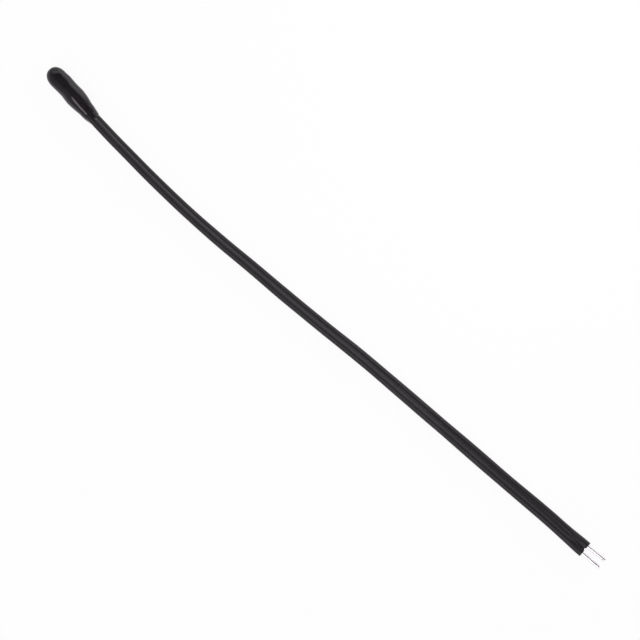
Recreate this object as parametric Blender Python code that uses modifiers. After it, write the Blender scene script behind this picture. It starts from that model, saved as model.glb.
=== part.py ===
"""Bead thermistor: a dipped epoxy bead on the end of a twin lead, with a ceramic chip inside.

Metres, +Z up. The part lies on z = 0. The bead lies along X with its nose towards -X, and the origin is on the
surface below the bead's middle. The lead leaves the bead towards +X and ends in two bare, tinned conductors.
"""

import math

import bmesh
import bpy
from mathutils import Matrix, Vector

MM = 0.001

# Twin lead: two round cores joined by a web
CORE_DIAMETER = 1.12 * MM
CORE_GAP = 0.04 * MM
WEB_THICKNESS = 0.34 * MM
SLIT_LENGTH = 1.8 * MM
SLIT_WIDTH = 0.10 * MM
SLIT_TAPER = 0.6

# Stranded conductors
CONDUCTOR_DIAMETER = 0.48 * MM
OUTER_STRANDS = 6
STRAND_LAY = 16.0 * MM
STRAND_DIAMETER = 0.16 * MM
STRAND_SHOWS = 70.0
BARE_LENGTH = 3.0 * MM
BARE_SPREAD = 0.08 * MM
TIP_LENGTH = 0.12 * MM
TIP_SHARE = 0.8

# Dipped bead, with places measured from its nose
BEAD_LENGTH = 8.8 * MM
NOSE_LENGTH = 1.9 * MM
NOSE_RADIUS = 1.25 * MM
WAIST_AT = 3.45 * MM
WAIST_RADIUS = 1.21 * MM
BULGE_AT = 5.0 * MM
BULGE_RADIUS = 1.30 * MM
SHOULDER_AT = 6.9 * MM
SHOULDER_RADIUS = 0.98 * MM
NECK_WALL = 0.08 * MM

# Chip, electrodes and solder
CHIP_AT = 2.2 * MM
CHIP_SIDE = 1.3 * MM
CHIP_THICKNESS = 0.40 * MM
CHIP_EDGE = 0.03 * MM
ELECTRODE_THICKNESS = 0.03 * MM
ELECTRODE_MARGIN = 0.05 * MM
SOLDER_FILM = 0.05 * MM
SOLDER_LENGTH = 1.24 * MM
SOLDER_WIDTH = 0.90 * MM
SOLDER_HEIGHT = 0.38 * MM
CONDUCTOR_PAST_CHIP_MIDDLE = 0.30 * MM
LEAD_IN_BEAD = 3.0 * MM

# Gap that every piece keeps to its neighbour
FIT = 0.02 * MM

# Route of the lead: x, y, roll in degrees from lying flat, and lift from lying height to the bead's axis
ROUTE = [
    (-4.0 * MM, 0.00 * MM, 72.0, 1.0),
    (1.4 * MM, 0.00 * MM, 72.0, 1.0),
    (4.4 * MM, -0.09 * MM, 72.0, 1.0),
    (7.5 * MM, -0.07 * MM, 72.0, 0.75),
    (11.0 * MM, 0.03 * MM, 71.0, 0.25),
    (15.0 * MM, 0.16 * MM, 70.0, 0.0),
    (20.5 * MM, 0.47 * MM, 68.5, 0.0),
    (26.9 * MM, 1.08 * MM, 66.5, 0.0),
    (33.2 * MM, 1.90 * MM, 63.5, 0.0),
    (39.6 * MM, 2.70 * MM, 61.0, 0.0),
    (45.9 * MM, 3.58 * MM, 60.0, 0.0),
    (52.2 * MM, 4.52 * MM, 57.0, 0.0),
    (58.6 * MM, 5.30 * MM, 54.5, 0.0),
    (65.0 * MM, 6.04 * MM, 53.5, 0.0),
    (71.3 * MM, 6.77 * MM, 49.5, 0.0),
    (77.7 * MM, 7.50 * MM, 48.0, 0.0),
    (84.0 * MM, 8.28 * MM, 44.0, 0.0),
    (88.3 * MM, 8.72 * MM, 33.0, 0.0),
    (91.1 * MM, 9.04 * MM, 6.0, 0.0),
    (94.2 * MM, 9.44 * MM, 4.0, 0.0),
]
LEAD_END = 91.1 * MM
LEAD_STEP = 2.4 * MM
STRAND_STEP = 1.8 * MM
BARE_STEP = 0.5 * MM
NUDGE = 0.05 * MM

# Facets
BEAD_SIDES = 24
BEAD_STEP = 0.4 * MM
NOSE_RINGS = 7
TUBE_RESOLUTION = 2
CORE_SIDES = 8
POINTS_PER_STRAND = 4
SOLDER_SEGMENTS = 16
SOLDER_RINGS = 10
SHARP_ANGLE = 35.0
STRAND_SHARP_ANGLE = 50.0
WELD = 0.001 * MM

CORE_PITCH = CORE_DIAMETER + CORE_GAP
NOSE_X = -BEAD_LENGTH / 2
NECK_X = BEAD_LENGTH / 2
CHIP_X = NOSE_X + CHIP_AT
LEAD_START = NECK_X - LEAD_IN_BEAD
SLIT_X = LEAD_END - SLIT_LENGTH
AXIS_HEIGHT = BULGE_RADIUS
ELECTRODE_BOTTOM = CHIP_THICKNESS / 2 + FIT
ELECTRODE_TOP = ELECTRODE_BOTTOM + ELECTRODE_THICKNESS
SOLDER_BOTTOM = ELECTRODE_TOP + FIT
CHIP_OFFSET = SOLDER_BOTTOM + SOLDER_FILM + FIT + CONDUCTOR_DIAMETER / 2

BEAD_OUTLINE = [
    (NOSE_X + NOSE_LENGTH, NOSE_RADIUS),
    (NOSE_X + WAIST_AT, WAIST_RADIUS),
    (NOSE_X + BULGE_AT, BULGE_RADIUS),
    (NOSE_X + SHOULDER_AT, SHOULDER_RADIUS),
    (NECK_X, CORE_DIAMETER / 2 + NECK_WALL),
]


def smooth_value(stations, x):
    """Height at x of a smooth curve through the stations, which never passes beyond its neighbours."""
    places = [place for place, _ in stations]
    heights = [height for _, height in stations]
    if x <= places[0]:
        return heights[0]
    if x >= places[-1]:
        return heights[-1]
    rises = [
        (heights[i + 1] - heights[i]) / (places[i + 1] - places[i])
        for i in range(len(places) - 1)
    ]
    slopes = [0.0]
    for before, after in zip(rises, rises[1:]):
        slopes.append(2 * before * after / (before + after) if before * after > 0 else 0.0)
    slopes.append(rises[-1])
    i = max(k for k in range(len(rises)) if places[k] <= x)
    run = places[i + 1] - places[i]
    t = (x - places[i]) / run
    return (
        heights[i] * (1 + 2 * t) * (1 - t) ** 2
        + slopes[i] * run * t * (1 - t) ** 2
        + heights[i + 1] * t * t * (3 - 2 * t)
        + slopes[i + 1] * run * t * t * (t - 1)
    )


def eased(low, high, x):
    """0 at low, 1 at high, and smooth between."""
    t = min(1.0, max(0.0, (x - low) / (high - low)))
    return t * t * (3 - 2 * t)


def roll_at(x):
    """Roll of the twin lead, where 0 has its cores side by side and 90 degrees has core a on top."""
    return math.radians(smooth_value([(row[0], row[2]) for row in ROUTE], x))


def middle_at(x):
    """Middle of the lead: at lying height on the surface, or on the bead's axis where it is held."""
    y = smooth_value([(row[0], row[1]) for row in ROUTE], x)
    lift = smooth_value([(row[0], row[3]) for row in ROUTE], x)
    lying = (CORE_DIAMETER + CORE_PITCH * math.sin(roll_at(x))) / 2
    return Vector((x, y, lying + lift * (AXIS_HEIGHT - lying)))


def across_at(x):
    """Unit vector from the middle of the lead towards core a."""
    forward = (middle_at(x + NUDGE) - middle_at(x - NUDGE)).normalized()
    left = Vector((0, 0, 1)).cross(forward).normalized()
    up = forward.cross(left)
    return up * math.sin(roll_at(x)) - left * math.cos(roll_at(x))


def conductor_offset(x):
    """From the lead's middle to a conductor: in its core, laid on its solder, or spread at the bare end."""
    at_chip = eased(LEAD_START, CHIP_X + CHIP_SIDE / 2, x)
    at_tip = eased(LEAD_END, LEAD_END + BARE_LENGTH, x)
    in_core = CORE_PITCH / 2
    return in_core + at_chip * (CHIP_OFFSET - in_core) + at_tip * BARE_SPREAD / 2


def stations(first, last, step):
    """Evenly spaced places from first to last, about a step apart."""
    count = max(1, round((last - first) / step))
    return [first + (last - first) * i / count for i in range(count + 1)]


def lead_stations():
    """Places along the insulation, with one at the start of the slit."""
    return stations(LEAD_START, SLIT_X, LEAD_STEP)[:-1] + stations(SLIT_X, LEAD_END, SLIT_LENGTH / 3)


def conductor_stations():
    """Places along a conductor: close together where it is bare."""
    inner = stations(CHIP_X - CONDUCTOR_PAST_CHIP_MIDDLE, LEAD_START, BARE_STEP)
    covered = stations(LEAD_START, LEAD_END, STRAND_STEP)
    outer = stations(LEAD_END, LEAD_END + BARE_LENGTH - TIP_LENGTH, BARE_STEP)
    return inner[:-1] + covered[:-1] + outer + [LEAD_END + BARE_LENGTH]


def material(name, colour, roughness, metallic=0.0):
    """A plain Principled material."""
    made = bpy.data.materials.new(name)
    made.use_nodes = True
    shader = made.node_tree.nodes["Principled BSDF"]
    shader.inputs["Base Color"].default_value = (*colour, 1.0)
    shader.inputs["Roughness"].default_value = roughness
    shader.inputs["Metallic"].default_value = metallic
    return made


def collection(name):
    """A new collection in the scene."""
    made = bpy.data.collections.new(name)
    bpy.context.scene.collection.children.link(made)
    return made


def object_from(name, mesh, group):
    """An object of this mesh, in its collection."""
    made = bpy.data.objects.new(name, mesh)
    group.objects.link(made)
    return made


def as_cutter(made):
    """Marks an object as a tool that only shapes others."""
    made.hide_render = True
    made.display_type = "WIRE"
    return made


def rounded(made, angle=SHARP_ANGLE):
    """Smooth shading with the real edges kept sharp."""
    made.data.shade_smooth()
    made.data.set_sharp_from_angle(angle=math.radians(angle))
    return made


def boolean(target, tool, operation):
    """Adds a Boolean modifier."""
    cut = target.modifiers.new(tool.name, "BOOLEAN")
    cut.operation = operation
    cut.solver = "EXACT"
    cut.object = tool
    return cut


def curve_tube(name, points, group, radius=None, profile=None, tilts=None, radii=None):
    """A mesh tube along the points: round with this radius, or with a profile curve as its section."""
    data = bpy.data.curves.new(name, "CURVE")
    data.dimensions = "3D"
    data.twist_mode = "Z_UP"
    data.use_fill_caps = True
    if profile:
        data.bevel_mode = "OBJECT"
        data.bevel_object = profile
    else:
        data.bevel_depth = radius
        data.bevel_resolution = TUBE_RESOLUTION
    spline = data.splines.new("POLY")
    spline.points.add(len(points) - 1)
    for i, point in enumerate(points):
        spline.points[i].co = (*point, 1.0)
        spline.points[i].tilt = tilts[i] if tilts else 0.0
        spline.points[i].radius = radii[i] if radii else 1.0
    curve = bpy.data.objects.new(name, data)
    group.objects.link(curve)
    bpy.context.view_layer.update()
    seen = curve.evaluated_get(bpy.context.evaluated_depsgraph_get())
    mesh = bpy.data.meshes.new_from_object(seen)
    joined = bmesh.new()
    joined.from_mesh(mesh)
    bmesh.ops.remove_doubles(joined, verts=joined.verts, dist=WELD)
    joined.to_mesh(mesh)
    joined.free()
    place = curve.matrix_world.copy()
    bpy.data.objects.remove(curve)
    made = object_from(name, mesh, group)
    made.matrix_world = place
    return made


def section(name, outline, group):
    """A closed flat curve that serves as the section of a tube, with its outline given counterclockwise."""
    data = bpy.data.curves.new(name, "CURVE")
    data.dimensions = "2D"
    spline = data.splines.new("POLY")
    spline.points.add(len(outline) - 1)
    for point, (x, y) in zip(spline.points, reversed(outline)):
        point.co = (x, y, 0.0, 1.0)
    spline.use_cyclic_u = True
    made = bpy.data.objects.new(name, data)
    group.objects.link(made)
    return as_cutter(made)


def twin_outline(grow=0.0):
    """Section of the twin lead: two round cores side by side along X, with the web between them."""
    radius = CORE_DIAMETER / 2 + grow
    corner = math.asin((WEB_THICKNESS / 2 + grow) / radius)
    outline = []
    for side in (1, -1):
        for i in range(CORE_SIDES + 1):
            turn = corner - math.pi + 2 * (math.pi - corner) * i / CORE_SIDES
            outline.append((side * (CORE_PITCH / 2 + radius * math.cos(turn)), side * radius * math.sin(turn)))
    return outline


def lead_tube(name, outline, places, group, cutters, radii=None):
    """A tube along the lead's middle that turns with its roll."""
    profile = section(name + "_section", outline, cutters)
    tilts = [math.pi - roll_at(x) for x in places]
    return curve_tube(name, [middle_at(x) for x in places], group, profile=profile, tilts=tilts, radii=radii)


def conductor_path(side, places):
    """Points on one conductor's axis."""
    return [middle_at(x) + side * conductor_offset(x) * across_at(x) for x in places]


def conductor_channel(name, side, places, group):
    """The round room that a conductor takes, with its fit."""
    return curve_tube(name, conductor_path(side, places), group, radius=CONDUCTOR_DIAMETER / 2 + FIT)


def strand_outline():
    """Section of the laid strands: an arc on each outer strand, with tin bridging the gaps between them."""
    radius = STRAND_DIAMETER / 2
    ring = CONDUCTOR_DIAMETER / 2 - radius
    outline = []
    for strand in range(OUTER_STRANDS):
        facing = 2 * math.pi * strand / OUTER_STRANDS
        for k in range(POINTS_PER_STRAND):
            turn = facing + math.radians(STRAND_SHOWS) * (2 * k / (POINTS_PER_STRAND - 1) - 1)
            x = ring * math.cos(facing) + radius * math.cos(turn)
            y = ring * math.sin(facing) + radius * math.sin(turn)
            outline.append((x, y))
    return outline


def make_conductor(name, side, group, cutters, finish):
    """A stranded conductor from its solder joint to its bare tip."""
    places = conductor_stations()
    profile = section(name + "_section", strand_outline(), cutters)
    tilts = [2 * math.pi * (x - places[0]) / STRAND_LAY for x in places]
    radii = [1.0] * (len(places) - 1) + [TIP_SHARE]
    made = curve_tube(name, conductor_path(side, places), group, profile=profile, tilts=tilts, radii=radii)
    made.data.materials.append(finish)
    return rounded(made, STRAND_SHARP_ANGLE)


def make_insulation(group, cutters, finish):
    """Both cores and the web as one piece, bored for the conductors and slit at the cut end."""
    places = lead_stations()
    made = lead_tube("lead_insulation", twin_outline(), places, group, cutters)
    made.data.materials.append(finish)
    bored = [LEAD_START - BARE_STEP] + places + [LEAD_END + BARE_STEP]
    for side, letter in ((1, "a"), (-1, "b")):
        bore = conductor_channel("bore_" + letter, side, bored, cutters)
        boolean(made, as_cutter(bore), "DIFFERENCE")
    slit_places = stations(SLIT_X, LEAD_END, SLIT_LENGTH / 3) + [LEAD_END + BARE_STEP]
    corners = [(1, 1), (-1, 1), (-1, -1), (1, -1)]
    outline = [(u * SLIT_WIDTH / 2, v * WEB_THICKNESS) for u, v in corners]
    widths = [SLIT_TAPER + (1 - SLIT_TAPER) * eased(SLIT_X, LEAD_END, x) for x in slit_places]
    slit = lead_tube("slit", outline, slit_places, cutters, cutters, widths)
    boolean(made, as_cutter(slit), "DIFFERENCE")
    return rounded(made)


def bead_radius(x):
    """Radius of the bead's round ends: an elliptical nose, then the outline."""
    if x < NOSE_X + NOSE_LENGTH:
        back = 1 - (x - NOSE_X) / NOSE_LENGTH
        return NOSE_RADIUS * math.sqrt(max(0.0, 1 - back * back))
    return smooth_value(BEAD_OUTLINE, x)


def bead_ring(x):
    """Section of the bead: a circle, drawn out towards the neck to a slot that wraps the flat lead."""
    middle = Vector((x, middle_at(x).y, AXIS_HEIGHT))
    along = across_at(LEAD_START)
    beside = Vector((1, 0, 0)).cross(along).normalized()
    radius = bead_radius(x)
    stretch = CORE_PITCH / 2 * eased(NOSE_X + BULGE_AT, NECK_X, x)
    ring = []
    for i in range(BEAD_SIDES):
        turn = 2 * math.pi * (i + 0.5) / BEAD_SIDES
        end = math.copysign(stretch, math.cos(turn))
        offset = along * (end + radius * math.cos(turn)) + beside * radius * math.sin(turn)
        ring.append(middle + Vector((0, offset.y, offset.z)))
    return ring


def loft(name, tip, rings, group):
    """A skin over the rings, closed by a point at the first and a flat face at the last."""
    skin = bmesh.new()
    rows = [[skin.verts.new(point) for point in ring] for ring in rings]
    point = skin.verts.new(tip)
    count = len(rows[0])
    for i in range(count):
        after = (i + 1) % count
        skin.faces.new((point, rows[0][after], rows[0][i]))
        for near, far in zip(rows, rows[1:]):
            skin.faces.new((near[i], near[after], far[after], far[i]))
    skin.faces.new(rows[-1])
    bmesh.ops.recalc_face_normals(skin, faces=skin.faces)
    mesh = bpy.data.meshes.new(name)
    skin.to_mesh(mesh)
    skin.free()
    return object_from(name, mesh, group)


def make_bead(group, cutters, finish, chip_centre):
    """The dipped coating, cast round the chip, the solder, the conductors and the end of the lead."""
    nose = [NOSE_X + NOSE_LENGTH * (1 - math.cos(math.pi / 2 * i / NOSE_RINGS)) for i in range(1, NOSE_RINGS)]
    places = nose + stations(NOSE_X + NOSE_LENGTH, NECK_X, BEAD_STEP)
    tip = Vector((NOSE_X, middle_at(NOSE_X).y, AXIS_HEIGHT))
    made = loft("epoxy_bead", tip, [bead_ring(x) for x in places], group)
    made.data.materials.append(finish)
    mouth = stations(LEAD_START - FIT, NECK_X + BARE_STEP, LEAD_STEP)
    inner = stations(CHIP_X - CONDUCTOR_PAST_CHIP_MIDDLE - FIT, LEAD_START + BARE_STEP, BARE_STEP)
    boolean(made, as_cutter(lead_tube("mouth", twin_outline(FIT), mouth, cutters, cutters)), "DIFFERENCE")
    for side, letter in ((1, "a"), (-1, "b")):
        boolean(made, as_cutter(conductor_channel("channel_" + letter, side, inner, cutters)), "DIFFERENCE")
        solder = solder_blob("solder_room_" + letter, side, cutters, chip_centre, FIT)
        boolean(made, as_cutter(solder), "DIFFERENCE")
    room = CHIP_SIDE + 2 * FIT
    chamber = block("chip_room", (room, room, 2 * (SOLDER_BOTTOM + FIT)), cutters, chip_centre)
    boolean(made, as_cutter(chamber), "DIFFERENCE")
    return rounded(made)


def block(name, size, group, parent, height=0.0):
    """A rectangular block, centred on its parent but for a height along the parent's own Z."""
    solid = bmesh.new()
    bmesh.ops.create_cube(solid, size=1.0)
    bmesh.ops.scale(solid, vec=Vector(size), verts=solid.verts)
    mesh = bpy.data.meshes.new(name)
    solid.to_mesh(mesh)
    solid.free()
    made = object_from(name, mesh, group)
    made.parent = parent
    made.location = (0, 0, height)
    return made


def solder_blob(name, side, group, parent, grow=0.0):
    """An egg-shaped lump round the end of a conductor, on one side of the chip."""
    solid = bmesh.new()
    bmesh.ops.create_uvsphere(solid, u_segments=SOLDER_SEGMENTS, v_segments=SOLDER_RINGS, radius=1.0)
    half = Vector((SOLDER_LENGTH / 2 + grow, SOLDER_WIDTH / 2 + grow, SOLDER_HEIGHT + grow))
    bmesh.ops.scale(solid, vec=half, verts=solid.verts)
    mesh = bpy.data.meshes.new(name)
    solid.to_mesh(mesh)
    solid.free()
    made = object_from(name, mesh, group)
    made.parent = parent
    made.location = (0, 0, side * CHIP_OFFSET)
    return made


def make_chip(group, finish, parent):
    """The sawn ceramic chip, with its edges just broken."""
    made = block("thermistor_chip", (CHIP_SIDE, CHIP_SIDE, CHIP_THICKNESS), group, parent)
    made.data.materials.append(finish)
    edges = made.modifiers.new("edges", "BEVEL")
    edges.width = CHIP_EDGE
    edges.segments = 1
    return made


def make_electrode(name, side, group, finish, parent):
    """The fired silver on one face of the chip."""
    across = CHIP_SIDE - 2 * ELECTRODE_MARGIN
    height = side * (ELECTRODE_BOTTOM + ELECTRODE_TOP) / 2
    made = block(name, (across, across, ELECTRODE_THICKNESS), group, parent, height)
    made.data.materials.append(finish)
    return made


def make_solder(name, side, group, cutters, finish, parent):
    """A solder joint, flat on its electrode and wrapped round the conductor's end."""
    made = solder_blob(name, side, group, parent)
    made.data.materials.append(finish)
    depth = 2 * SOLDER_HEIGHT
    height = side * (SOLDER_BOTTOM - depth / 2)
    base = block(name + "_base", (2 * CHIP_SIDE, 2 * CHIP_SIDE, depth), cutters, parent, height)
    boolean(made, as_cutter(base), "DIFFERENCE")
    places = stations(CHIP_X - CONDUCTOR_PAST_CHIP_MIDDLE - FIT, LEAD_START, BARE_STEP)
    channel = conductor_channel(name + "_channel", side, places, cutters)
    boolean(made, as_cutter(channel), "DIFFERENCE")
    return rounded(made)


def chip_frame(group):
    """An empty at the chip's middle, with its Z towards conductor a."""
    centre = bpy.data.objects.new("chip_centre", None)
    group.objects.link(centre)
    up = across_at(CHIP_X)
    forward = Vector((1, 0, 0))
    beside = up.cross(forward).normalized()
    turned = Matrix((forward, beside, up)).transposed().to_4x4()
    centre.matrix_world = Matrix.Translation(middle_at(CHIP_X)) @ turned
    bpy.context.view_layer.update()
    return centre


def main():
    for old in list(bpy.data.objects):
        bpy.data.objects.remove(old)
    group = collection("bead_thermistor")
    cutters = collection("cutters")
    epoxy = material("black epoxy", (0.018, 0.018, 0.019), 0.18)
    pvc = material("black pvc", (0.030, 0.028, 0.030), 0.42)
    tinned = material("tinned copper", (0.80, 0.80, 0.80), 0.25, 1.0)
    ceramic = material("ceramic", (0.10, 0.09, 0.085), 0.65)
    silver = material("fired silver", (0.86, 0.85, 0.82), 0.35, 1.0)
    solder = material("solder", (0.70, 0.70, 0.71), 0.30, 1.0)

    centre = chip_frame(group)
    make_chip(group, ceramic, centre)
    make_bead(group, cutters, epoxy, centre)
    make_insulation(group, cutters, pvc)
    for side, letter in ((1, "a"), (-1, "b")):
        make_electrode("chip_electrode_" + letter, side, group, silver, centre)
        make_solder("solder_joint_" + letter, side, group, cutters, solder, centre)
        make_conductor("conductor_" + letter, side, group, cutters, tinned)


main()
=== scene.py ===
"""Looks of the bead thermistor: a glossy dipped bead, a satin twin lead and two tinned wire ends.

Metres, +Z up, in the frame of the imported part. The camera looks straight down on a white table.
"""

import math

import bmesh
import bpy
import numpy as np
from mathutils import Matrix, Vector, noise


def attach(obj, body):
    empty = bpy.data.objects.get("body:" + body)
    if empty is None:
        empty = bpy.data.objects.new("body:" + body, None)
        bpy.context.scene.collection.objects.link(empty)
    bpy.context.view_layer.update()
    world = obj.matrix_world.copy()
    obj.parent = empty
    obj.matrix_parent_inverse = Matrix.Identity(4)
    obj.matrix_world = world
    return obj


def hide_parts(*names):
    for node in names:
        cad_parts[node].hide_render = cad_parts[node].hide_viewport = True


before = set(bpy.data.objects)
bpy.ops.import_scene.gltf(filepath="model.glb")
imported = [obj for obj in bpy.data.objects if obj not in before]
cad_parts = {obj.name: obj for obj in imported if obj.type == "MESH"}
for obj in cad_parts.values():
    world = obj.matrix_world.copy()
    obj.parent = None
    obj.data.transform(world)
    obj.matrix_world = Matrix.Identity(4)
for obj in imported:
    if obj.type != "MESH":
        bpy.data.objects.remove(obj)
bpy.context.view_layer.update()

MM = 0.001

# Twin lead
CORE_DIAMETER = 1.12 * MM
CORE_GAP = 0.04 * MM
WEB_THICKNESS = 0.60 * MM
CORE_PITCH = CORE_DIAMETER + CORE_GAP
CORE_RADIUS = CORE_DIAMETER / 2
BORE_RADIUS = 0.26 * MM
AXIS_HEIGHT = 1.30 * MM
LEAD_START = 1.4 * MM
LEAD_END = 91.1 * MM

# Skin of the lead: slimmer by this all round, until it nears the cut, with slow waves outside the bead
SKIN_GROWTH = -0.04 * MM
SLIM_UNTIL = LEAD_END - 5.0 * MM
FULL_FROM = LEAD_END - 1.0 * MM
WAVE_SIZE = 5.0 * MM
WAVE_DEPTH = 0.028 * MM
RIPPLE_SIZE = 1.8 * MM
RIPPLE_DEPTH = 0.005 * MM
WAVES_START = 3.3 * MM
WAVES_FULL = 4.3 * MM

# Slit that parts the two cores at the cut, as distance past the cut and width, and the pinch where it starts
SLIT_LENGTH = 1.8 * MM
SLIT_HEIGHT = 1.2 * MM
SLIT = [
    (-SLIT_LENGTH, 0.02 * MM),
    (-1.20 * MM, 0.02 * MM),
    (-0.50 * MM, 0.03 * MM),
    (-0.17 * MM, 0.04 * MM),
    (0.00 * MM, 0.47 * MM),
    (0.17 * MM, 0.90 * MM),
]
PINCH_HEIGHT = 0.17 * MM
PINCH_HALF_WIDTH = 0.50 * MM
PINCH_REACH = 1.1 * MM

# Stranded conductors
CONDUCTOR_DIAMETER = 0.48 * MM
OUTER_STRANDS = 6
STRAND_DIAMETER = 0.16 * MM
STRAND_LAY = 16.0 * MM
CONDUCTOR_START = -2.5 * MM
BARE_LENGTH = 3.0 * MM
BARE_SPREAD = 0.08 * MM
BARE_EASE = 0.5 * MM

# Tin on the strands: it fills their grooves, wanders a little, and swells to a blob before its rounded tip
TIN_RADIUS = 0.246 * MM
TIN_SHARPNESS = 40
WANDER_SIZE = 0.9 * MM
WANDER_ACROSS = 0.012 * MM
WANDER_BESIDE = 0.008 * MM
LUMP_SIZE = 0.6 * MM
LUMP_DEPTH = 0.001 * MM
BLOB_START = 0.5 * MM
BLOB_FULL = 0.2 * MM
TIP_LENGTH = 0.15 * MM
TIP_FLAT = 0.15

# Route of the lead: x, y, roll in degrees from lying flat, and lift from lying height to the bead's axis
ROUTE = [
    (-4.0 * MM, 0.00 * MM, 62.9, 1.0),
    (1.4 * MM, 0.00 * MM, 62.9, 1.0),
    (4.4 * MM, -0.09 * MM, 62.9, 1.0),
    (7.5 * MM, -0.07 * MM, 62.9, 0.75),
    (11.0 * MM, 0.03 * MM, 61.8, 0.25),
    (15.0 * MM, 0.16 * MM, 60.8, 0.0),
    (20.5 * MM, 0.47 * MM, 59.1, 0.0),
    (26.9 * MM, 1.08 * MM, 57.0, 0.0),
    (33.2 * MM, 1.90 * MM, 53.6, 0.0),
    (39.6 * MM, 2.70 * MM, 50.9, 0.0),
    (45.9 * MM, 3.58 * MM, 49.7, 0.0),
    (52.2 * MM, 4.52 * MM, 46.3, 0.0),
    (58.6 * MM, 5.30 * MM, 43.3, 0.0),
    (65.0 * MM, 6.04 * MM, 42.2, 0.0),
    (71.3 * MM, 6.77 * MM, 37.2, 0.0),
    (77.7 * MM, 7.50 * MM, 35.4, 0.0),
    (84.0 * MM, 8.28 * MM, 30.1, 0.0),
    (88.3 * MM, 8.72 * MM, 25.8, 0.0),
    (91.1 * MM, 9.04 * MM, 6.0, 0.0),
    (94.2 * MM, 9.44 * MM, 4.0, 0.0),
]

# Bead: nose, then its two edges seen from above, and half its height, each as x and distance from its axis
NOSE_X = -4.39 * MM
NOSE_LENGTH = 1.75 * MM
NOSE_POWER = 2.2
LEFT_EDGE = [
    (-2.64 * MM, 1.33 * MM),
    (-1.80 * MM, 1.30 * MM),
    (-1.20 * MM, 1.27 * MM),
    (-0.70 * MM, 1.26 * MM),
    (0.10 * MM, 1.34 * MM),
    (0.60 * MM, 1.37 * MM),
    (1.10 * MM, 1.34 * MM),
    (1.70 * MM, 1.29 * MM),
    (2.20 * MM, 1.23 * MM),
    (2.70 * MM, 1.16 * MM),
    (3.30 * MM, 1.135 * MM),
    (3.80 * MM, 1.095 * MM),
    (4.30 * MM, 1.00 * MM),
    (4.80 * MM, 0.91 * MM),
    (5.20 * MM, 0.89 * MM),
]
RIGHT_EDGE = [
    (-2.64 * MM, 1.30 * MM),
    (-1.80 * MM, 1.37 * MM),
    (-1.20 * MM, 1.35 * MM),
    (-0.70 * MM, 1.335 * MM),
    (0.10 * MM, 1.36 * MM),
    (0.60 * MM, 1.385 * MM),
    (1.10 * MM, 1.35 * MM),
    (1.70 * MM, 1.28 * MM),
    (2.20 * MM, 1.18 * MM),
    (2.70 * MM, 1.07 * MM),
    (3.30 * MM, 1.00 * MM),
    (3.80 * MM, 0.91 * MM),
    (4.30 * MM, 0.82 * MM),
    (4.80 * MM, 0.72 * MM),
    (5.20 * MM, 0.70 * MM),
]
HALF_HEIGHT = [
    (-4.40 * MM, 1.00 * MM),
    (-2.64 * MM, 1.11 * MM),
    (-1.20 * MM, 1.205 * MM),
    (0.35 * MM, 1.31 * MM),
    (0.60 * MM, 1.302 * MM),
    (2.10 * MM, 1.188 * MM),
    (3.65 * MM, 1.070 * MM),
    (3.75 * MM, 1.063 * MM),
    (3.85 * MM, 1.063 * MM),
    (4.20 * MM, 1.066 * MM),
    (5.20 * MM, 1.040 * MM),
]

# Power of the superellipse that the bead's section is, where 2 is an ellipse
ROUNDNESS = [
    (-4.00 * MM, 2.0),
    (-3.00 * MM, 2.3),
    (-2.00 * MM, 2.2),
    (-1.00 * MM, 2.0),
    (0.60 * MM, 2.05),
    (3.00 * MM, 2.35),
    (4.60 * MM, 2.0),
]

# Coat where it thins out over the cores: its depth, and the width of its fillets
COAT_ON_CORES = [
    (1.20 * MM, -0.03 * MM),
    (3.30 * MM, -0.03 * MM),
    (3.90 * MM, 0.012 * MM),
    (4.40 * MM, 0.012 * MM),
    (4.80 * MM, 0.006 * MM),
    (5.10 * MM, -0.010 * MM),
    (5.20 * MM, -0.03 * MM),
]
COAT_FILLET = [
    (2.00 * MM, 0.05 * MM),
    (4.20 * MM, 0.06 * MM),
    (4.60 * MM, 0.06 * MM),
    (4.90 * MM, 0.04 * MM),
]
CORES_SHOW_FROM = 2.0 * MM
CORES_SHOW_FULLY = 2.8 * MM
COAT_END = 5.2 * MM

# Rim of the thick coat, and the waves that its front makes round the lead
RIM_START = 4.54 * MM
RIM_END = 4.70 * MM
FRONT_WAVE = 0.07 * MM
FRONT_WAVE_TURN = 0.6
FRONT_RIPPLES = 3
FRONT_RIPPLE = 0.05 * MM
FRONT_RIPPLE_TURN = 2.0
FRONT_MARGIN = 0.14 * MM

# Sags in the bead's skin, and its least height above the floor
SAG_SIZE = 1.6 * MM
SAG_DEPTH = 0.003 * MM
SAGS_FADE = 4.0 * MM
SAGS_GONE = 4.6 * MM
BEAD_LIFT = 0.005 * MM

# View
PIXELS = 640
PIXELS_PER_MM = 7.5
CAMERA_TURN = math.radians(47.31)
CAMERA_HEIGHT = 0.6
CAMERA_X = 44.62 * MM
CAMERA_Y = 3.825 * MM
CLIP_NEAR = 0.01
CLIP_FAR = 10.0

# Highlights on black have a slight magenta cast
GLOSS_TINT = (1.0, 0.92, 1.0, 1.0)

# Table and studio: greys, and for the studio the rise towards the ceiling, from 0 to 1, where each is reached
FLOOR_SIZE = 6.0
FLOOR_GREY = 0.85
FLOOR_WHITENESS = 0.92
STUDIO_GREYS = [
    (0.05, 0.85),
    (0.40, 0.40),
    (0.85, 0.16),
]

# Softboxes: name, azimuth and elevation in degrees, distance, width and height in metres, and radiance
SOFTBOXES = [
    ("top box", 110, 23, 0.9, 0.80, 0.62, 0.72),
    ("bottom box", -64, 51, 0.9, 0.48, 0.60, 2.0),
    ("near box", 49, 31, 0.09, 0.035, 0.035, 1.6),
    ("left panel", 158, 35, 1.0, 0.62, 0.45, 0.60),
    ("low panel", -118, 48, 1.0, 0.80, 0.65, 0.14),
]
FILL = ("fill", 0, 90, 0.8, 0.6, 0.6, 2.0)

# Watts of a rectangular lamp for each square metre and unit of radiance
LAMP_FACTOR = 4

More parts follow.
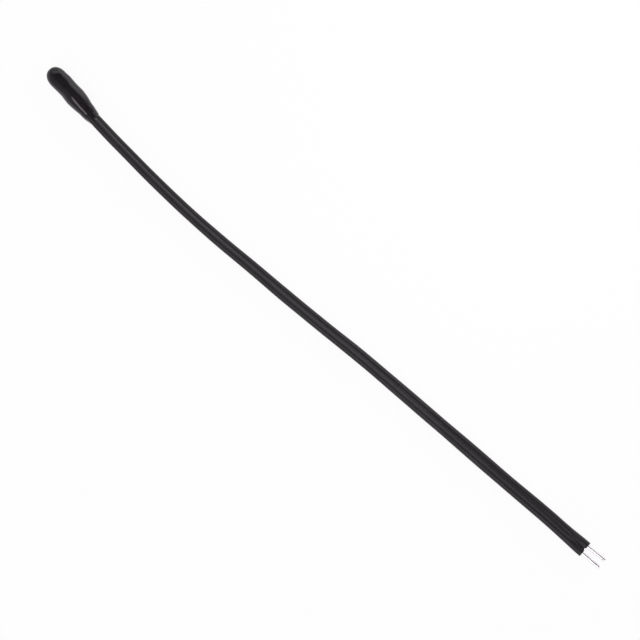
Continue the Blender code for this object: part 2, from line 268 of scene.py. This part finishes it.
# Steps that keep the noise of one seed apart from that of the next
SEED_STEPS = (17.3, 5.7, 11.1)


def smooth_value(stations, x):
    """Values at x of a smooth curve through the stations, which never passes beyond its neighbours."""
    places = np.array([station[0] for station in stations])
    heights = np.array([station[1] for station in stations])
    runs = np.diff(places)
    rises = np.diff(heights) / runs
    same_way = rises[:-1] * rises[1:] > 0
    total = np.where(same_way, rises[:-1] + rises[1:], 1.0)
    inner = np.where(same_way, 2 * rises[:-1] * rises[1:] / total, 0.0)
    slopes = np.concatenate([[0.0], inner, [rises[-1]]])
    x = np.clip(x, places[0], places[-1])
    i = np.clip(np.searchsorted(places, x, side="right") - 1, 0, len(runs) - 1)
    run = runs[i]
    t = (x - places[i]) / run
    return (
        heights[i] * (1 + 2 * t) * (1 - t) ** 2
        + slopes[i] * run * t * (1 - t) ** 2
        + heights[i + 1] * t * t * (3 - 2 * t)
        + slopes[i + 1] * run * t * t * (t - 1)
    )


def eased(low, high, x):
    """0 at low, 1 at high, and smooth between."""
    t = np.clip((x - low) / (high - low), 0.0, 1.0)
    return t * t * (3 - 2 * t)


def unit(vectors):
    """Rows scaled to length 1."""
    return vectors / np.linalg.norm(vectors, axis=-1, keepdims=True)


def roll_at(x):
    """Roll of the twin lead, where 0 has its cores side by side and 90 degrees has core a on top."""
    return np.radians(smooth_value([(row[0], row[2]) for row in ROUTE], x))


def middle_at(x):
    """Points on the lead's middle line."""
    y = smooth_value([(row[0], row[1]) for row in ROUTE], x)
    lift = smooth_value([(row[0], row[3]) for row in ROUTE], x)
    lying = (CORE_DIAMETER + CORE_PITCH * np.sin(roll_at(x))) / 2
    return np.stack([x, y, lying + lift * (AXIS_HEIGHT - lying)], axis=-1)


def axes_at(x):
    """Unit vectors at x: along the lead, from its middle towards core a, and square to both."""
    step = 0.05 * MM
    forward = unit(middle_at(x + step) - middle_at(x - step))
    left = unit(np.cross([0.0, 0.0, 1.0], forward))
    up = np.cross(forward, left)
    roll = roll_at(x)[..., None]
    across = up * np.sin(roll) - left * np.cos(roll)
    return forward, across, np.cross(forward, across)


def spaced(first, last, step):
    """Evenly spaced places from first to last, about a step apart."""
    return np.linspace(first, last, max(2, round((last - first) / step) + 1))


def wobble(points, size, seed):
    """Smooth noise from -1 to 1 at each point, with bumps of about this size."""
    offset = Vector([seed * step for step in SEED_STEPS])
    flat = points.reshape(-1, 3) / size
    values = [noise.noise(Vector(point) + offset) for point in flat]
    return np.array(values).reshape(points.shape[:-1])


def grid_faces(rows, columns, first=0):
    """Quads between closed rings of points, numbered from first."""
    faces = []
    for row in range(rows - 1):
        for column in range(columns):
            after = (column + 1) % columns
            near = first + row * columns
            far = near + columns
            faces.append((near + column, near + after, far + after, far + column))
    return faces


def object_from(name, mesh, finish):
    """A smooth-shaded object of this mesh with its material."""
    mesh.materials.append(finish)
    mesh.shade_smooth()
    made = bpy.data.objects.new(name, mesh)
    bpy.context.scene.collection.objects.link(made)
    return made


def closed_mesh(name, points, faces, open_ends):
    """A mesh of these faces, turned outwards, whose open ends, each a list of rings, are closed."""
    mesh = bpy.data.meshes.new(name)
    mesh.from_pydata(points.tolist(), [], faces)
    body = bmesh.new()
    body.from_mesh(mesh)
    body.verts.ensure_lookup_table()
    for rings in open_ends:
        edges = []
        for ring in rings:
            for near, far in zip(ring, ring[1:] + ring[:1]):
                edges.append(body.edges.get((body.verts[near], body.verts[far])))
        bmesh.ops.triangle_fill(body, edges=edges, use_beauty=True)
    bmesh.ops.recalc_face_normals(body, faces=body.faces)
    body.to_mesh(mesh)
    body.free()
    return mesh


def shader_material(name, metallic=0.0):
    """A Principled material, its node tree and its shader."""
    made = bpy.data.materials.new(name)
    made.use_nodes = True
    shader = made.node_tree.nodes["Principled BSDF"]
    shader.inputs["Metallic"].default_value = metallic
    return made, made.node_tree, shader


def noise_node(tree, scale, detail, factors=(1.0, 1.0, 1.0)):
    """Noise in the object's own space, with about this many bumps per metre times each axis's factor."""
    place = tree.nodes.new("ShaderNodeTexCoord")
    scaled = tree.nodes.new("ShaderNodeMapping")
    scaled.inputs["Scale"].default_value = factors
    made = tree.nodes.new("ShaderNodeTexNoise")
    made.inputs["Scale"].default_value = scale
    made.inputs["Detail"].default_value = detail
    tree.links.new(place.outputs["Object"], scaled.inputs["Vector"])
    tree.links.new(scaled.outputs["Vector"], made.inputs["Vector"])
    return made.outputs["Fac"]


def ramp_node(tree, value, low, high, start=0.35, stop=0.65):
    """A colour that runs from low to high as the value passes from start to stop."""
    made = tree.nodes.new("ShaderNodeValToRGB")
    made.color_ramp.elements[0].position = start
    made.color_ramp.elements[0].color = (*low, 1.0)
    made.color_ramp.elements[1].position = stop
    made.color_ramp.elements[1].color = (*high, 1.0)
    tree.links.new(value, made.inputs["Fac"])
    return made.outputs["Color"]


def range_node(tree, value, low, high, start=0.3, stop=0.7):
    """A number that runs from low to high as the value passes from start to stop."""
    made = tree.nodes.new("ShaderNodeMapRange")
    made.inputs["From Min"].default_value = start
    made.inputs["From Max"].default_value = stop
    made.inputs["To Min"].default_value = low
    made.inputs["To Max"].default_value = high
    tree.links.new(value, made.inputs["Value"])
    return made.outputs["Result"]


def bump_node(tree, height, depth, strength, before=None):
    """A bump of this depth in metres, on top of another bump where one is given."""
    made = tree.nodes.new("ShaderNodeBump")
    made.inputs["Distance"].default_value = depth
    made.inputs["Strength"].default_value = strength
    tree.links.new(height, made.inputs["Height"])
    if before:
        tree.links.new(before, made.inputs["Normal"])
    return made.outputs["Normal"]


def link_look(tree, shader, colour, roughness, normal):
    """Links a colour, a roughness and a normal into the shader."""
    tree.links.new(colour, shader.inputs["Base Color"])
    tree.links.new(roughness, shader.inputs["Roughness"])
    tree.links.new(normal, shader.inputs["Normal"])


def epoxy_material():
    """Black dipping epoxy: deep gloss, with faint sags and fine dust under the skin."""
    made, tree, shader = shader_material("black epoxy")
    shader.inputs["IOR"].default_value = 1.50
    shader.inputs["Specular Tint"].default_value = GLOSS_TINT
    patches = noise_node(tree, scale=900, detail=3)
    smears = noise_node(tree, scale=1500, detail=4)
    sags = bump_node(tree, noise_node(tree, scale=700, detail=2), depth=0.01 * MM, strength=0.10)
    dust = noise_node(tree, scale=6000, detail=3)
    link_look(
        tree,
        shader,
        colour=ramp_node(tree, patches, (0.005, 0.0042, 0.005), (0.010, 0.0086, 0.010)),
        roughness=range_node(tree, smears, 0.06, 0.14),
        normal=bump_node(tree, dust, depth=0.001 * MM, strength=0.15, before=sags),
    )
    return made


def pvc_material():
    """Black PVC insulation: satin, with fine lines along the extrusion and a dull grain."""
    made, tree, shader = shader_material("black pvc")
    shader.inputs["IOR"].default_value = 1.45
    shader.inputs["Specular Tint"].default_value = GLOSS_TINT
    patches = noise_node(tree, scale=400, detail=4)
    scuffs = noise_node(tree, scale=1200, detail=4, factors=(0.25, 1.0, 1.0))
    streaks = noise_node(tree, scale=9000, detail=2, factors=(0.03, 1.0, 1.0))
    lines = bump_node(tree, streaks, depth=0.002 * MM, strength=0.12)
    grain = noise_node(tree, scale=22000, detail=2)
    link_look(
        tree,
        shader,
        colour=ramp_node(tree, patches, (0.0070, 0.0059, 0.0070), (0.0100, 0.0087, 0.0100)),
        roughness=range_node(tree, scuffs, 0.42, 0.50),
        normal=bump_node(tree, grain, depth=0.001 * MM, strength=0.06, before=lines),
    )
    return made


def tinned_material():
    """Tinned copper: bright and slightly milky, with lumps where the solder wetted the strands."""
    made, tree, shader = shader_material("tinned copper", metallic=1.0)
    patches = noise_node(tree, scale=3000, detail=4)
    milk = noise_node(tree, scale=5000, detail=3)
    lumps = noise_node(tree, scale=4500, detail=2)
    link_look(
        tree,
        shader,
        colour=ramp_node(tree, patches, (0.80, 0.76, 0.80), (0.93, 0.89, 0.93)),
        roughness=range_node(tree, milk, 0.17, 0.21),
        normal=bump_node(tree, lumps, depth=0.002 * MM, strength=0.15),
    )
    return made


def grained_material(name, metallic, scale, detail, colours, roughness, depth, strength):
    """A material whose colour, roughness and bumps all follow the same grains."""
    made, tree, shader = shader_material(name, metallic)
    grains = noise_node(tree, scale, detail)
    link_look(
        tree,
        shader,
        colour=ramp_node(tree, grains, *colours),
        roughness=range_node(tree, grains, *roughness),
        normal=bump_node(tree, grains, depth, strength),
    )
    return made


def ceramic_material():
    """Sawn oxide ceramic: dark, dull and grainy."""
    return grained_material(
        "oxide ceramic",
        metallic=0.0,
        scale=20000,
        detail=4,
        colours=((0.07, 0.065, 0.06), (0.13, 0.12, 0.11)),
        roughness=(0.55, 0.75),
        depth=0.004 * MM,
        strength=0.5,
    )


def silver_material():
    """Fired silver: matt and slightly porous."""
    return grained_material(
        "fired silver",
        metallic=1.0,
        scale=26000,
        detail=3,
        colours=((0.72, 0.71, 0.68), (0.90, 0.89, 0.86)),
        roughness=(0.32, 0.50),
        depth=0.002 * MM,
        strength=0.4,
    )


def solder_material():
    """Solder: bright, with the frosty patches of a slow set."""
    return grained_material(
        "solder",
        metallic=1.0,
        scale=7000,
        detail=4,
        colours=((0.62, 0.62, 0.63), (0.78, 0.78, 0.79)),
        roughness=(0.18, 0.45),
        depth=0.004 * MM,
        strength=0.4,
    )


def make_camera():
    """Looks straight down, turned so that the part runs from the upper left to the lower right."""
    data = bpy.data.cameras.new("camera")
    width = PIXELS / PIXELS_PER_MM * MM
    data.lens = data.sensor_width * (CAMERA_HEIGHT - CORE_DIAMETER) / width
    data.clip_start = CLIP_NEAR
    data.clip_end = CLIP_FAR
    camera = bpy.data.objects.new("camera", data)
    camera.location = (CAMERA_X, CAMERA_Y, CAMERA_HEIGHT)
    camera.rotation_euler = (0.0, 0.0, CAMERA_TURN)
    bpy.context.scene.collection.objects.link(camera)
    bpy.context.scene.camera = camera


def lead_outline(grow=0.0):
    """Section of the twin lead, counterclockwise: two round cores with a fillet at the web between them."""
    radius = CORE_RADIUS + grow
    half_pitch = CORE_PITCH / 2
    half_web = WEB_THICKNESS / 2 + grow
    fillet = (radius ** 2 - half_pitch ** 2 - half_web ** 2) / (2 * (half_web - radius))
    fillet_height = half_web + fillet
    tangent = math.pi - math.atan2(fillet_height, half_pitch)
    core_steps = 30
    fillet_steps = 5
    outline = []
    for side in (1, -1):
        for i in range(core_steps + 1):
            turn = tangent * (2 * i / core_steps - 1)
            outline.append((side * (half_pitch + radius * math.cos(turn)), side * radius * math.sin(turn)))
        for i in range(1, fillet_steps):
            turn = (tangent - math.pi / 2) * (1 - 2 * i / fillet_steps)
            x = fillet * math.sin(turn)
            y = fillet_height - fillet * math.cos(turn)
            outline.append((side * x, side * y))
    return np.array(outline)


def swept(places, outlines):
    """Rings of points: an outline at each place, square to the lead, its first axis towards core a."""
    _, across, beside = axes_at(places)
    middle = middle_at(places)
    return (
        middle[:, None, :]
        + outlines[..., 0:1] * across[:, None, :]
        + outlines[..., 1:2] * beside[:, None, :]
    )


def conductor_offset(x):
    """From the lead's middle to a conductor's axis."""
    at_tip = eased(LEAD_END, LEAD_END + BARE_LENGTH, x)
    return CORE_PITCH / 2 + at_tip * BARE_SPREAD / 2


def pinched(places, outline):
    """How the web's skin moves out of its groove where the slit starts."""
    from_slit = (places - LEAD_END + SLIT_LENGTH) / PINCH_REACH
    crest = np.clip(1 - (outline[:, 0] / PINCH_HALF_WIDTH) ** 2, 0.0, 1.0) * np.sign(outline[:, 1])
    height = np.clip(1 - from_slit ** 2, 0.0, 1.0)[:, None] ** 2 * crest * PINCH_HEIGHT
    return height[..., None] * axes_at(places)[2][:, None, :]


def make_lead(finish):
    """The insulation: both cores and the web in one, bored for the conductors and slit at the cut end."""
    ring_gap = 0.35 * MM
    slit_ring_gap = 0.1 * MM
    bore_sides = 20
    crease = math.radians(50)
    places = np.concatenate([
        spaced(LEAD_START, LEAD_END - SLIT_LENGTH, ring_gap)[:-1],
        spaced(LEAD_END - SLIT_LENGTH, LEAD_END, slit_ring_gap),
    ])
    outline = lead_outline()
    slim = 1 - eased(SLIM_UNTIL, FULL_FROM, places)
    skin = swept(places, outline + slim[:, None, None] * (lead_outline(SKIN_GROWTH) - outline))
    outward = unit(skin - middle_at(places)[:, None, :])
    waves = wobble(skin, WAVE_SIZE, seed=1) * WAVE_DEPTH + wobble(skin, RIPPLE_SIZE, seed=2) * RIPPLE_DEPTH
    waves = waves * eased(WAVES_START, WAVES_FULL, places)[:, None]
    skin = skin + outward * waves[..., None] + pinched(places, outline)
    skin[..., 2] = np.maximum(skin[..., 2], 0.0)
    columns = len(outline)
    count = len(places) * columns
    points = [skin.reshape(-1, 3)]
    faces = grid_faces(len(places), columns)
    first_rings = [list(range(columns))]
    last_rings = [list(range(count - columns, count))]
    turns = 2 * math.pi * np.arange(bore_sides) / bore_sides
    for side in (1, -1):
        bore = np.stack([
            side * CORE_PITCH / 2 + BORE_RADIUS * np.cos(turns),
            BORE_RADIUS * np.sin(turns),
        ], axis=-1)
        points.append(swept(places, np.repeat(bore[None], len(places), axis=0)).reshape(-1, 3))
        faces += grid_faces(len(places), bore_sides, count)
        first_rings.append(list(range(count, count + bore_sides)))
        count += len(places) * bore_sides
        last_rings.append(list(range(count - bore_sides, count)))
    mesh = closed_mesh("twin_lead", np.concatenate(points), faces, [first_rings, last_rings])
    made = object_from("twin_lead", mesh, finish)
    cut_slit(made)
    made.data.set_sharp_from_angle(angle=crease)
    return made


def cut_slit(lead):
    """Parts the two cores at the cut end: a narrow slit that flares where the wire stripper bit."""
    places = LEAD_END + np.array([station[0] for station in SLIT])
    widths = np.array([station[1] for station in SLIT])
    heights = np.full(len(SLIT), SLIT_HEIGHT)
    corners = np.array([(0.5, 0.5), (-0.5, 0.5), (-0.5, -0.5), (0.5, -0.5)])
    outlines = corners[None] * np.stack([widths, heights], axis=-1)[:, None, :]
    rings = swept(places, outlines)
    columns = len(corners)
    count = len(places) * columns
    ends = [[list(range(columns))], [list(range(count - columns, count))]]
    mesh = closed_mesh("slit", rings.reshape(-1, 3), grid_faces(len(places), columns), ends)
    cutter = bpy.data.objects.new("slit", mesh)
    bpy.context.scene.collection.objects.link(cutter)
    cut = lead.modifiers.new("slit", "BOOLEAN")
    cut.operation = "DIFFERENCE"
    cut.solver = "MANIFOLD"
    cut.object = cutter
    bpy.context.view_layer.update()
    seen = lead.evaluated_get(bpy.context.evaluated_depsgraph_get())
    parted = bpy.data.meshes.new_from_object(seen)
    lead.modifiers.clear()
    lead.data = parted
    bpy.data.objects.remove(cutter)


def strand_radius(turns):
    """Distance from a conductor's axis to its skin: the strands' arcs, with tin in their grooves."""
    spacing = 2 * math.pi / OUTER_STRANDS
    off = (turns + spacing / 2) % spacing - spacing / 2
    strand = STRAND_DIAMETER / 2
    ring = CONDUCTOR_DIAMETER / 2 - strand
    reach = ring * np.cos(off) + np.sqrt(np.maximum(0.0, strand ** 2 - (ring * np.sin(off)) ** 2))
    return TIN_RADIUS * ((reach / TIN_RADIUS) ** TIN_SHARPNESS + 1) ** (1 / TIN_SHARPNESS)


def make_conductor(name, side, finish, blob, seed):
    """A tinned, laid conductor that ends in a rounded tip, with a blob of tin where it has one."""
    ring_gap = 0.9 * MM
    bare_ring_gap = 0.05 * MM
    bare_rings_start = LEAD_END - 1.0 * MM
    tip_rings = 8
    columns = 60
    crease = math.radians(60)
    tip = LEAD_END + BARE_LENGTH
    places = np.concatenate([
        spaced(CONDUCTOR_START, bare_rings_start, ring_gap)[:-1],
        spaced(bare_rings_start, tip - TIP_LENGTH, bare_ring_gap)[:-1],
        tip - TIP_LENGTH * (1 - np.sin(np.linspace(0, math.pi / 2, tip_rings)))[:-1],
    ])
    turns = 2 * math.pi * np.arange(columns) / columns
    _, across, beside = axes_at(places)
    bare = eased(LEAD_END, LEAD_END + BARE_EASE, places)
    axis = middle_at(places) + side * conductor_offset(places)[:, None] * across
    wander = np.stack([wobble(axis, WANDER_SIZE, seed), wobble(axis, WANDER_SIZE, seed + 3)], axis=-1)
    axis = axis + (bare * wander[:, 0] * WANDER_ACROSS)[:, None] * across
    axis = axis + (bare * wander[:, 1] * WANDER_BESIDE)[:, None] * beside
    laid = turns[None] - 2 * math.pi * (places[:, None] - CONDUCTOR_START) / STRAND_LAY
    swell = 1 + blob * eased(tip - BLOB_START, tip - BLOB_FULL, places)
    into_tip = np.clip((places - tip + TIP_LENGTH) / TIP_LENGTH, 0, 1)
    round_off = np.sqrt(np.maximum(0.0, 1 - into_tip ** 2))
    radii = strand_radius(laid) * (swell * np.maximum(round_off, TIP_FLAT))[:, None]
    skin = (
        axis[:, None, :]
        + (radii * np.cos(turns))[..., None] * across[:, None, :]
        + (radii * np.sin(turns))[..., None] * beside[:, None, :]
    )
    lumps = wobble(skin, LUMP_SIZE, seed + 7) * LUMP_DEPTH * bare[:, None]
    skin = skin + unit(skin - axis[:, None, :]) * lumps[..., None]
    count = len(places) * columns
    ends = [[list(range(columns))], [list(range(count - columns, count))]]
    mesh = closed_mesh(name, skin.reshape(-1, 3), grid_faces(len(places), columns), ends)
    made = object_from(name, mesh, finish)
    made.data.set_sharp_from_angle(angle=crease)
    return made


def blended(first, second, width):
    """The smaller of two distances, with a fillet of this width where they meet."""
    share = np.clip(0.5 + 0.5 * (second - first) / width, 0.0, 1.0)
    return second + (first - second) * share - width * share * (1 - share)


def bead_centre(x):
    """Sideways place of the section's centre: between the bead's edges, then on the lead's middle line."""
    between = (smooth_value(RIGHT_EDGE, x) - smooth_value(LEFT_EDGE, x)) / 2
    on_lead = eased(0.0, LEAD_START, x)
    return between + (middle_at(x)[..., 1] - between) * on_lead


def coated_cores_distance(x, y, z, front):
    """Distance, inside negative, from the skin of the thin coat that follows the two cores."""
    _, across, beside = axes_at(x)
    middle = middle_at(x)
    coat = smooth_value(COAT_ON_CORES, front)
    towards_a = (y - middle[..., 1]) * across[..., 1] + (z - middle[..., 2]) * across[..., 2]
    square_off = (y - middle[..., 1]) * beside[..., 1] + (z - middle[..., 2]) * beside[..., 2]
    radius = CORE_RADIUS + SKIN_GROWTH + coat
    near_core = np.hypot(np.abs(towards_a) - CORE_PITCH / 2, square_off) - radius
    far_core = np.hypot(np.abs(towards_a) + CORE_PITCH / 2, square_off) - radius
    half_web = WEB_THICKNESS / 2 + SKIN_GROWTH + coat
    web = np.maximum(np.abs(square_off) - half_web, np.abs(towards_a) - CORE_PITCH / 2)
    return np.minimum(blended(near_core, far_core, smooth_value(COAT_FILLET, x)), web)


def body_distance(x, y, z):
    """Distance, inside negative, from the skin of the thick coat: nose, waist, bulge and tail."""
    left = -smooth_value(LEFT_EDGE, x)
    right = smooth_value(RIGHT_EDGE, x)
    half_width = (right - left) / 2
    half_height = smooth_value(HALF_HEIGHT, x)
    nose = np.clip(1 - (x - NOSE_X) / NOSE_LENGTH, 0.0, 1.0)
    share = (1 - nose ** NOSE_POWER) ** (1 / NOSE_POWER)
    roundness = smooth_value(ROUNDNESS, x)
    sideways = np.abs(y - (left + right) / 2) / half_width
    upwards = np.abs(z - AXIS_HEIGHT) / half_height
    reach = (sideways ** roundness + upwards ** roundness) ** (1 / roundness)
    return (reach - share) * np.minimum(half_width, half_height)


def bead_distance(x, offset, turns):
    """Distance, inside negative, of points from the bead's skin, by offset and turn in the section at x."""
    y = bead_centre(x) + offset * np.cos(turns)
    z = AXIS_HEIGHT + offset * np.sin(turns)
    front = (
        x
        + FRONT_WAVE * np.sin(turns + FRONT_WAVE_TURN)
        + FRONT_RIPPLE * np.sin(FRONT_RIPPLES * turns + FRONT_RIPPLE_TURN)
    )
    twin = coated_cores_distance(x, y, z, front)
    body = body_distance(x, y, z)
    both = blended(body, twin, smooth_value(COAT_FILLET, x))
    with_twin = body + (both - body) * eased(CORES_SHOW_FROM, CORES_SHOW_FULLY, x)
    return with_twin + (twin - with_twin) * eased(RIM_START, RIM_END, front)


def make_bead(finish):
    """The dipped coat: a round nose, a waist and a bulge, then a tail that thins out over the two cores."""
    columns = 128
    nose_rings = 24
    ring_gap = 0.05 * MM
    rim_ring_gap = 0.015 * MM
    farthest = 2.0 * MM
    halvings = 30
    turns = 2 * math.pi * np.arange(columns) / columns
    nose = NOSE_X + NOSE_LENGTH * (1 - np.cos(np.linspace(0, math.pi / 2, nose_rings)))[1:-1]
    fine_start = RIM_START - FRONT_MARGIN
    fine_end = RIM_END + FRONT_MARGIN
    places = np.concatenate([
        nose,
        spaced(NOSE_X + NOSE_LENGTH, fine_start, ring_gap)[:-1],
        spaced(fine_start, fine_end, rim_ring_gap)[:-1],
        spaced(fine_end, COAT_END, ring_gap),
    ])
    x = np.repeat(places[:, None], columns, axis=1)
    angle = np.repeat(turns[None], len(places), axis=0)
    inside = np.zeros_like(x)
    outside = np.full_like(x, farthest)
    for _ in range(halvings):
        halfway = (inside + outside) / 2
        beyond = bead_distance(x, halfway, angle) > 0
        outside = np.where(beyond, halfway, outside)
        inside = np.where(beyond, inside, halfway)
    skin = np.stack([
        x,
        bead_centre(x) + inside * np.cos(angle),
        AXIS_HEIGHT + inside * np.sin(angle),
    ], axis=-1)
    axis = np.stack([places, bead_centre(places), np.full(len(places), AXIS_HEIGHT)], axis=-1)
    sag = wobble(skin, SAG_SIZE, seed=21) * SAG_DEPTH * (1 - eased(SAGS_FADE, SAGS_GONE, x))
    skin = skin + unit(skin - axis[:, None, :]) * sag[..., None]
    skin[..., 2] = np.maximum(skin[..., 2], BEAD_LIFT)
    tip = np.array([[NOSE_X, bead_centre(places[0]), AXIS_HEIGHT]])
    count = len(places) * columns
    points = np.concatenate([skin.reshape(-1, 3), tip])
    faces = grid_faces(len(places), columns)
    faces += [(count, (column + 1) % columns, column) for column in range(columns)]
    mesh = closed_mesh("dipped_bead", points, faces, [[list(range(count - columns, count))]])
    return object_from("dipped_bead", mesh, finish)


def grey(level):
    """A grey of this level, as red, green, blue and alpha."""
    return (level, level, level, 1.0)


def make_floor():
    """A white table: it takes the part's shadow, and cameras and gloss see it almost white."""
    bpy.ops.mesh.primitive_plane_add(size=FLOOR_SIZE, location=(0, 0, 0))
    floor = bpy.context.object
    floor.name = "floor"
    made = bpy.data.materials.new("white table")
    made.use_nodes = True
    tree = made.node_tree
    tree.nodes.clear()
    lit = tree.nodes.new("ShaderNodeBsdfDiffuse")
    lit.inputs["Color"].default_value = grey(FLOOR_GREY)
    white = tree.nodes.new("ShaderNodeEmission")
    mixed = tree.nodes.new("ShaderNodeMixShader")
    out = tree.nodes.new("ShaderNodeOutputMaterial")
    tree.links.new(seen_share(tree, FLOOR_WHITENESS), mixed.inputs["Fac"])
    tree.links.new(lit.outputs["BSDF"], mixed.inputs[1])
    tree.links.new(white.outputs["Emission"], mixed.inputs[2])
    tree.links.new(mixed.outputs["Shader"], out.inputs["Surface"])
    floor.data.materials.append(made)


def seen_share(tree, share):
    """This share for rays from the camera and from gloss or glass, and 0 for all other rays."""
    path = tree.nodes.new("ShaderNodeLightPath")
    total = path.outputs["Is Camera Ray"]
    for name in ("Is Glossy Ray", "Is Transmission Ray"):
        larger = tree.nodes.new("ShaderNodeMath")
        larger.operation = "MAXIMUM"
        tree.links.new(total, larger.inputs[0])
        tree.links.new(path.outputs[name], larger.inputs[1])
        total = larger.outputs["Value"]
    scaled = tree.nodes.new("ShaderNodeMath")
    scaled.operation = "MULTIPLY"
    scaled.inputs[1].default_value = share
    tree.links.new(total, scaled.inputs[0])
    return scaled.outputs["Value"]


def make_world():
    """A studio with a dark ceiling and paler walls, which the camera itself sees as white."""
    world = bpy.data.worlds.new("studio")
    bpy.context.scene.world = world
    world.use_nodes = True
    tree = world.node_tree
    tree.nodes.clear()
    place = tree.nodes.new("ShaderNodeTexCoord")
    split = tree.nodes.new("ShaderNodeSeparateXYZ")
    tree.links.new(place.outputs["Generated"], split.inputs["Vector"])
    room = tree.nodes.new("ShaderNodeValToRGB")
    table, wall, ceiling = STUDIO_GREYS
    stops = room.color_ramp.elements
    stops[0].position = table[0]
    stops[0].color = grey(table[1])
    stops[1].position = ceiling[0]
    stops[1].color = grey(ceiling[1])
    stops.new(wall[0]).color = grey(wall[1])
    tree.links.new(split.outputs["Z"], room.inputs["Fac"])
    studio = tree.nodes.new("ShaderNodeBackground")
    tree.links.new(room.outputs["Color"], studio.inputs["Color"])
    white = tree.nodes.new("ShaderNodeBackground")
    white.inputs["Color"].default_value = grey(1.0)
    path = tree.nodes.new("ShaderNodeLightPath")
    mixed = tree.nodes.new("ShaderNodeMixShader")
    out = tree.nodes.new("ShaderNodeOutputWorld")
    tree.links.new(path.outputs["Is Camera Ray"], mixed.inputs["Fac"])
    tree.links.new(studio.outputs["Background"], mixed.inputs[1])
    tree.links.new(white.outputs["Background"], mixed.inputs[2])
    tree.links.new(mixed.outputs["Shader"], out.inputs["Surface"])


def softbox(name, azimuth, elevation, distance, width, height, radiance):
    """A rectangular light that faces the bead from this direction, in degrees."""
    data = bpy.data.lights.new(name, "AREA")
    data.shape = "RECTANGLE"
    data.size = width
    data.size_y = height
    data.energy = LAMP_FACTOR * width * height * radiance
    light = bpy.data.objects.new(name, data)
    turn = math.radians(azimuth)
    rise = math.radians(elevation)
    towards = Vector((math.cos(turn) * math.cos(rise), math.sin(turn) * math.cos(rise), math.sin(rise)))
    light.location = distance * towards
    light.rotation_euler = towards.to_track_quat("Z", "Y").to_euler()
    light.visible_camera = False
    bpy.context.scene.collection.objects.link(light)
    return light


def make_lights():
    """Softboxes around the part, low enough to leave the ceiling dark, and a fill that gloss misses."""
    for box in SOFTBOXES:
        softbox(*box)
    fill = softbox(*FILL)
    fill.visible_glossy = False


def main():
    """Builds the scene, and hides the solids that its pieces stand in for."""
    make_camera()
    pvc = pvc_material()
    epoxy = epoxy_material()
    tinned = tinned_material()
    lead = make_lead(pvc)
    conductor_a = make_conductor("wire_a", side=1, finish=tinned, blob=0.0, seed=31)
    conductor_b = make_conductor("wire_b", side=-1, finish=tinned, blob=0.18, seed=47)
    bead = make_bead(epoxy)
    for piece, node, slot in (
        (lead, "lead_insulation", "pvc"),
        (conductor_a, "conductor_a", "tinned_copper"),
        (conductor_b, "conductor_b", "tinned_copper"),
        (bead, "epoxy_bead", "epoxy"),
    ):
        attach(piece, "root")
        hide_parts(node)
    ceramic = ceramic_material()
    silver = silver_material()
    solder = solder_material()
    for node, finish in (
        ("thermistor_chip", ceramic),
        ("chip_electrode_a", silver),
        ("chip_electrode_b", silver),
        ("solder_joint_a", solder),
        ("solder_joint_b", solder),
    ):
        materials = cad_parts[node].data.materials
        materials.clear()
        materials.append(finish)
    make_floor()
    make_world()
    make_lights()
    bpy.context.scene.view_settings.view_transform = "Standard"


main()
